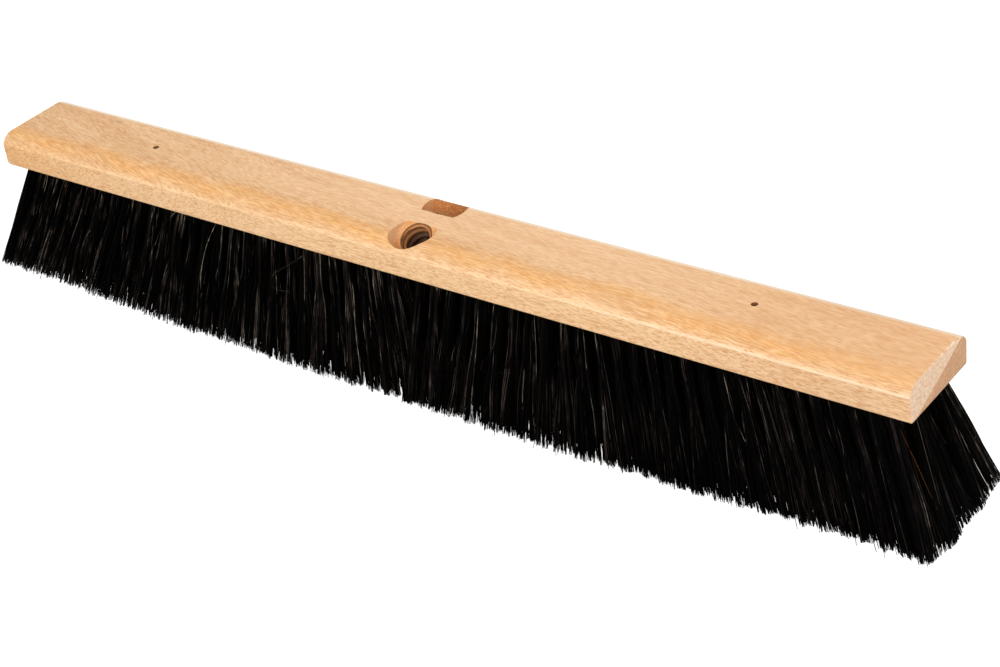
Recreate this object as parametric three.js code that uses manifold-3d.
// Push broom head, 24 inch: one beech block, bored on its underside for five rows of
// horsehair tufts, with two tilted handle sockets in its top.
// Millimetres, +Z up. X runs along the block, -Y is the front. The origin is under the
// middle of the block, on the plane that the fibre tips sweep.
import * as THREE from "three";
import {
  mergeGeometries,
  mergeVertices,
} from "three/addons/utils/BufferGeometryUtils.js";
import Module from "manifold-3d";

const wasm = await Module();
wasm.setup();

// ---- block dimensions ------------------------------------------------------------------
const UNDERSIDE = 75; // height of the block's underside over the swept plane
const BLOCK_LENGTH = 610; // 24 in
const BLOCK_HALF_WIDTH = 28.2;
const BLOCK_HEIGHT = 19.8; // thickest, along the flat of the top
const BLOCK_TOP = UNDERSIDE + BLOCK_HEIGHT;
const SIDE_HEIGHT = 14.2; // the flat side ends here, at the arris
const TOP_FLAT_HALF = 19.3; // the top is flat this far from the middle, then crowned
const CROWN_RADIUS = 9.87;
const CROWN_STEPS = 7;
const BOTTOM_EASE = 1.6; // eased lower edges
const EASE_MIDDLE = 0.3 * BOTTOM_EASE; // distance of the ease's middle point from both faces
const END_EASE = 1.2; // eased end edges

// Sanded facet on the right-hand end: two points on the end face, and one set back from it.
// Heights are over the underside.
const FACET = {
  low: { y: -27.4, height: 0.3 },
  high: { y: 19.7, height: 18.2 },
  setback: 1.2, // at the front arris
};

const SOCKET_X = 1.5;
const SOCKET_TILT = THREE.MathUtils.degToRad(30); // handle leans this far from upright
const SEAT_RADIUS = 12.7; // 1 in counterbore for the shoulder of the handle
const SEAT_LIMIT = 26.3; // a thin web of wood stays between a seat and the side face
// Place in the top, direction of lean, depth of the seat along the axis, radius of the bore.
const SOCKETS = [
  { y: -13.2, side: -1, seatDepth: 4.9, boreRadius: 9.5 }, // for a 3/4 in handle thread
  { y: 17.2, side: 1, seatDepth: 4.05, boreRadius: 7 }, // plain, not tapped
];

const LOCATING_RADIUS = 1.9;
const LOCATING_DEPTH = 9;
const LOCATING_HOLES = [
  { x: -202.3, y: 1.3 },
  { x: 203, y: 4.2 },
];

// ---- tuft dimensions -------------------------------------------------------------------
const FIBRE_LENGTH = 76.2; // 3 in of trim, measured along the fibre
const ROW_SPACING = 10.5;
const TUFT_PITCH = 10.35;
const TUFT_HALF_COUNT = 28; // pitches from the middle to the last tuft of an odd row
const HOLE_WIDTH = 5.8; // bored hole of one tuft
const HOLE_DEPTH = 12;
const STUB_WIDTH = 3.4; // folded root of a tuft
const STUB_RISE = 3; // part of the root inside the mouth of its hole
const STUB_OVERLAP = 0.8; // part of the root inside the merged body
const BODY_DROP = 3.2; // the tufts of a group have merged this far below the underside
const ROW_GAP = 1.8; // daylight between neighbouring rows
const GROUP_GAP = 0.7; // and between neighbouring groups of one row
const GROUPS_PER_SIDE = 5;
const END_ROUNDING = 2.8; // a row stops this much short of half a pitch past its last tuft
const ROW_LEAN_STEP = 0.095; // fore-and-aft lean, per unit of drop, added from row to row
const MEET_X = 4; // where the tips of the two halves meet, over the missing tufts
const MEET_HALF_GAP = 0.8;
const END_TIP_X = 321.95; // reach of the tips of the end tufts

// Front to back. Tufts nearer the middle than bareHalf are left out.
const ROWS = [
  { name: "front_row", bareHalf: 3 },
  { name: "second_row", bareHalf: 8 },
  { name: "middle_row", bareHalf: 13 },
  { name: "fourth_row", bareHalf: 8 },
  { name: "rear_row", bareHalf: 3 },
];

// [x, lean of the fibres along the block per unit of drop].
// The ends fan outwards, and the tufts beside the middle close over the missing ones.
const LEAN_STATIONS = [
  [-305, -0.425], [-255, -0.425], [-227, -0.4], [-212, -0.34], [-192, -0.31],
  [-173, -0.27], [-155, -0.2], [-117, -0.165], [-83, -0.06], [-66, 0],
  [-48, 0.06], [-31, 0.12], [-12, 0.15], [12, -0.08], [41, -0.1],
  [60, -0.05], [95, 0], [111, 0.08], [126, 0.15], [146, 0.2],
  [180, 0.23], [198, 0.32], [220, 0.36], [250, 0.39], [285, 0.425],
  [305, 0.425],
];

// ---- materials -------------------------------------------------------------------------
const beech = new THREE.MeshStandardMaterial({
  color: 0xe3b988,
  roughness: 0.62,
  metalness: 0,
});
const horsehair = new THREE.MeshStandardMaterial({
  color: 0x100d0c,
  roughness: 0.55,
  metalness: 0,
});

// ---- helpers ---------------------------------------------------------------------------
function toSolid(geometry) {
  const bare = geometry.index ? geometry.toNonIndexed() : geometry.clone();
  // Normals and uvs would keep vertices at the same place from merging.
  bare.deleteAttribute("normal");
  bare.deleteAttribute("uv");
  const merged = mergeVertices(bare, 1e-4);
  return new wasm.Manifold(
    new wasm.Mesh({
      numProp: 3,
      vertProperties: new Float32Array(merged.attributes.position.array),
      triVerts: new Uint32Array(merged.index.array),
    }),
  );
}

function toGeometry(solid) {
  const mesh = solid.getMesh();
  const indexed = new THREE.BufferGeometry();
  indexed.setAttribute("position", new THREE.BufferAttribute(mesh.vertProperties, 3));
  indexed.setIndex(new THREE.BufferAttribute(mesh.triVerts, 1));
  const flat = indexed.toNonIndexed();
  flat.computeVertexNormals();
  return flat;
}

function boxAt(sizeX, sizeY, sizeZ, x, y, z) {
  return new THREE.BoxGeometry(sizeX, sizeY, sizeZ).translate(x, y, z);
}

// A cylinder whose axis starts at origin and runs along direction.
function cylinderAlong({ radius, length, sides, origin, direction }) {
  const up = new THREE.Vector3(0, 1, 0);
  const cylinder = new THREE.CylinderGeometry(radius, radius, length, sides);
  cylinder.translate(0, length / 2, 0);
  cylinder.applyQuaternion(new THREE.Quaternion().setFromUnitVectors(up, direction));
  return toSolid(cylinder.translate(origin.x, origin.y, origin.z));
}

// ---- tuft layout -----------------------------------------------------------------------
// The first, third and fifth rows are set out from the centre line. The other two are
// staggered by half a pitch and reach half a pitch nearer to each end.
function layOutRow({ name, bareHalf }, index) {
  const fromMiddle = index - 2;
  const reach = TUFT_HALF_COUNT + (index % 2) / 2;
  const tufts = [];
  for (let i = -reach; i <= reach; i++) {
    const x = i * TUFT_PITCH;
    if (Math.abs(x) > bareHalf) tufts.push(x);
  }
  return { name, tufts, y: fromMiddle * ROW_SPACING, lean: fromMiddle * ROW_LEAN_STEP };
}

const rows = ROWS.map(layOutRow);

// ---- block -----------------------------------------------------------------------------
// Section as (y, z), with z = 0 on the underside, counter-clockwise.
function blockProfile() {
  const bottomHalf = BLOCK_HALF_WIDTH - BOTTOM_EASE;
  const side = [
    [BLOCK_HALF_WIDTH - EASE_MIDDLE, EASE_MIDDLE],
    [BLOCK_HALF_WIDTH, BOTTOM_EASE],
    [BLOCK_HALF_WIDTH, SIDE_HEIGHT],
  ];
  const crownAngle = Math.asin((BLOCK_HALF_WIDTH - TOP_FLAT_HALF) / CROWN_RADIUS);
  for (let i = CROWN_STEPS - 1; i >= 0; i--) {
    const angle = (crownAngle * i) / CROWN_STEPS;
    side.push([
      TOP_FLAT_HALF + CROWN_RADIUS * Math.sin(angle),
      BLOCK_HEIGHT - CROWN_RADIUS * (1 - Math.cos(angle)),
    ]);
  }
  const mirrored = side.map(([y, z]) => [-y, z]).reverse();
  return [[-bottomHalf, 0], [bottomHalf, 0], ...side, ...mirrored];
}

function makeBlank() {
  const shape = new THREE.Shape(blockProfile().map(([y, z]) => new THREE.Vector2(y, z)));
  const blank = new THREE.ExtrudeGeometry(shape, {
    depth: BLOCK_LENGTH,
    bevelEnabled: false,
  });
  // The extrusion runs along Z with (x, y) holding (y, z): turn it to run along X.
  blank.applyMatrix4(
    new THREE.Matrix4().makeBasis(
      new THREE.Vector3(0, 1, 0),
      new THREE.Vector3(0, 0, 1),
      new THREE.Vector3(1, 0, 0),
    ),
  );
  return toSolid(blank.translate(-BLOCK_LENGTH / 2, 0, UNDERSIDE));
}

// Square bars set on edge, which ease the end edges along the underside and the top.
function endEaseCutters() {
  const width = END_EASE * Math.SQRT2;
  return [-1, 1].flatMap((end) =>
    [UNDERSIDE, BLOCK_TOP].map((z) => {
      const bar = new THREE.BoxGeometry(width, 80, width).rotateY(Math.PI / 4);
      return toSolid(bar.translate((end * BLOCK_LENGTH) / 2, 0, z));
    }),
  );
}

// Cuts the facet across the upper front of the right-hand end face.
function endFacetCutter() {
  const { low, high, setback } = FACET;
  const endX = BLOCK_LENGTH / 2;
  const lowPoint = new THREE.Vector3(endX, low.y, UNDERSIDE + low.height);
  const highPoint = new THREE.Vector3(endX, high.y, UNDERSIDE + high.height);
  const arrisPoint = new THREE.Vector3(
    endX - setback,
    -BLOCK_HALF_WIDTH,
    UNDERSIDE + SIDE_HEIGHT,
  );
  const edge = highPoint.sub(lowPoint).normalize();
  const normal = edge.clone().cross(arrisPoint.sub(lowPoint)).normalize();
  if (normal.x < 0) normal.negate(); // face out of the block
  const across = new THREE.Vector3().crossVectors(normal, edge);
  const slab = boxAt(10, 160, 160, 5, 0, 0); // its inner face lies on the facet
  slab.applyMatrix4(new THREE.Matrix4().makeBasis(normal, edge, across));
  return toSolid(slab.translate(lowPoint.x, lowPoint.y, lowPoint.z));
}

// Blind square holes, cut from below the underside.
function tuftHoleCutter() {
  const overrun = 2;
  const height = HOLE_DEPTH + overrun;
  const z = UNDERSIDE + (HOLE_DEPTH - overrun) / 2;
  const holes = rows.flatMap(({ y, tufts }) =>
    tufts.map((x) => boxAt(HOLE_WIDTH, HOLE_WIDTH, height, x, y, z)),
  );
  return toSolid(mergeGeometries(holes));
}

// A flat-floored seat, then the bore on the same axis, which runs out through the underside.
function socketCutters({ y, side, seatDepth, boreRadius }) {
  const direction = new THREE.Vector3(
    0,
    side * Math.sin(SOCKET_TILT),
    Math.cos(SOCKET_TILT),
  );
  const mouth = new THREE.Vector3(SOCKET_X, y, BLOCK_TOP);
  const seat = cylinderAlong({
    radius: SEAT_RADIUS,
    length: 40,
    sides: 40,
    origin: mouth.clone().addScaledVector(direction, -seatDepth),
    direction,
  });
  const limit = toSolid(boxAt(200, 2 * SEAT_LIMIT, 200, 0, 0, BLOCK_TOP));
  const bore = cylinderAlong({
    radius: boreRadius,
    length: 60,
    sides: 32,
    origin: mouth.clone().addScaledVector(direction, -45),
    direction,
  });
  return [seat.intersect(limit), bore];
}

function locatingHoleCutter({ x, y }) {
  return cylinderAlong({
    radius: LOCATING_RADIUS,
    length: LOCATING_DEPTH + 5, // runs out above the top
    sides: 16,
    origin: new THREE.Vector3(x, y, BLOCK_TOP - LOCATING_DEPTH),
    direction: new THREE.Vector3(0, 0, 1),
  });
}

function makeBlock() {
  const cutters = [
    ...endEaseCutters(),
    endFacetCutter(),
    tuftHoleCutter(),
    ...SOCKETS.flatMap(socketCutters),
    ...LOCATING_HOLES.map(locatingHoleCutter),
  ];
  const solid = cutters.reduce((block, cutter) => block.subtract(cutter), makeBlank());
  const mesh = new THREE.Mesh(toGeometry(solid), beech);
  mesh.name = "block";
  return mesh;
}

// ---- tufts -----------------------------------------------------------------------------
// Lean at x, which lies between the first and the last station.
function leanAt(x) {
  const next = LEAN_STATIONS.findIndex(([stationX]) => x <= stationX);
  const [x0, lean0] = LEAN_STATIONS[next - 1];
  const [x1, lean1] = LEAN_STATIONS[next];
  return lean0 + ((lean1 - lean0) * (x - x0)) / (x1 - x0);
}

// Place and lean of one edge of a group. tuftX is the tuft beside the edge, direction is
// -1 for the left edge and 1 for the right, and side is the half of the block likewise.
function groupEdge(tuftX, direction, side, hasNeighbour) {
  if (hasNeighbour) {
    const x = tuftX + (direction * TUFT_PITCH) / 2;
    return { x: x - (direction * GROUP_GAP) / 2, lean: leanAt(x) };
  }
  const x = tuftX + direction * (TUFT_PITCH / 2 - END_ROUNDING);
  if (direction === side) {
    // The tips of the end tufts of all rows line up.
    const angle = Math.asin((END_TIP_X - Math.abs(x)) / FIBRE_LENGTH);
    return { x, lean: side * Math.tan(angle) };
  }
  // Beside the missing tufts the tips close up to the meeting line.
  return { x, lean: (MEET_X + side * MEET_HALF_GAP - x) / FIBRE_LENGTH };
}

// Point reached after a length of fibre, from a root at (x, y) on the underside.
function alongFibre(x, y, leanX, leanY, length) {
  const stretch = Math.hypot(leanX, leanY, 1);
  return new THREE.Vector3(
    x + (leanX / stretch) * length,
    y + (leanY / stretch) * length,
    UNDERSIDE - length / stretch,
  );
}

// The merged part of a group, a six-sided body that spreads towards its tips.
function tuftBody(row, left, right) {
  const halfWidth = (ROW_SPACING - ROW_GAP) / 2;
  // Four at the top, then four at the tips: left front, left back, right front, right back.
  const corners = [];
  for (const length of [BODY_DROP, FIBRE_LENGTH])
    for (const { x, lean } of [left, right])
      for (const face of [-1, 1]) {
        const y = row.y + face * halfWidth;
        const leanY = row.lean + (face * ROW_LEAN_STEP) / 2;
        corners.push(alongFibre(x, y, lean, leanY, length));
      }
  for (const corner of corners.slice(0, 4)) corner.z = UNDERSIDE - BODY_DROP;

  const faces = [
    [0, 2, 3, 1], // top
    [4, 5, 7, 6], // tips
    [0, 4, 6, 2], // front
    [1, 3, 7, 5], // back
    [0, 1, 5, 4], // left
    [2, 6, 7, 3], // right
  ];
  const points = faces.flatMap(([a, b, c, d]) =>
    [a, b, c, a, c, d].map((corner) => corners[corner]),
  );
  const body = new THREE.BufferGeometry().setFromPoints(points);
  // Fibres that would pass the swept plane are trimmed level with it.
  return toSolid(body).subtract(toSolid(boxAt(900, 300, 20, 0, 0, -10)));
}

function tuftStubs(row, tufts) {
  const buried = BODY_DROP + STUB_OVERLAP;
  const z = UNDERSIDE + (STUB_RISE - buried) / 2;
  const stubs = tufts.map((x) =>
    boxAt(STUB_WIDTH, STUB_WIDTH, STUB_RISE + buried, x, row.y, z),
  );
  return toSolid(mergeGeometries(stubs));
}

// One row: each half is split into groups, numbered from left to right.
function makeRow(row) {
  const group = new THREE.Group();
  for (const side of [-1, 1]) {
    const half = row.tufts.filter((x) => x * side > 0);
    const perGroup = half.length / GROUPS_PER_SIDE;
    for (let i = 0; i < GROUPS_PER_SIDE; i++) {
      const first = Math.round(i * perGroup);
      const end = Math.round((i + 1) * perGroup);
      const left = groupEdge(half[first], -1, side, first > 0);
      const right = groupEdge(half[end - 1], 1, side, end < half.length);
      const solid = tuftBody(row, left, right).add(tuftStubs(row, half.slice(first, end)));
      const mesh = new THREE.Mesh(toGeometry(solid), horsehair);
      const number = String(group.children.length + 1).padStart(2, "0");
      mesh.name = `${row.name}_tufts_${number}`;
      group.add(mesh);
    }
  }
  return group;
}

// ---- assembly --------------------------------------------------------------------------
const broom = new THREE.Group();
broom.add(makeBlock(), ...rows.map(makeRow));

export default broom;
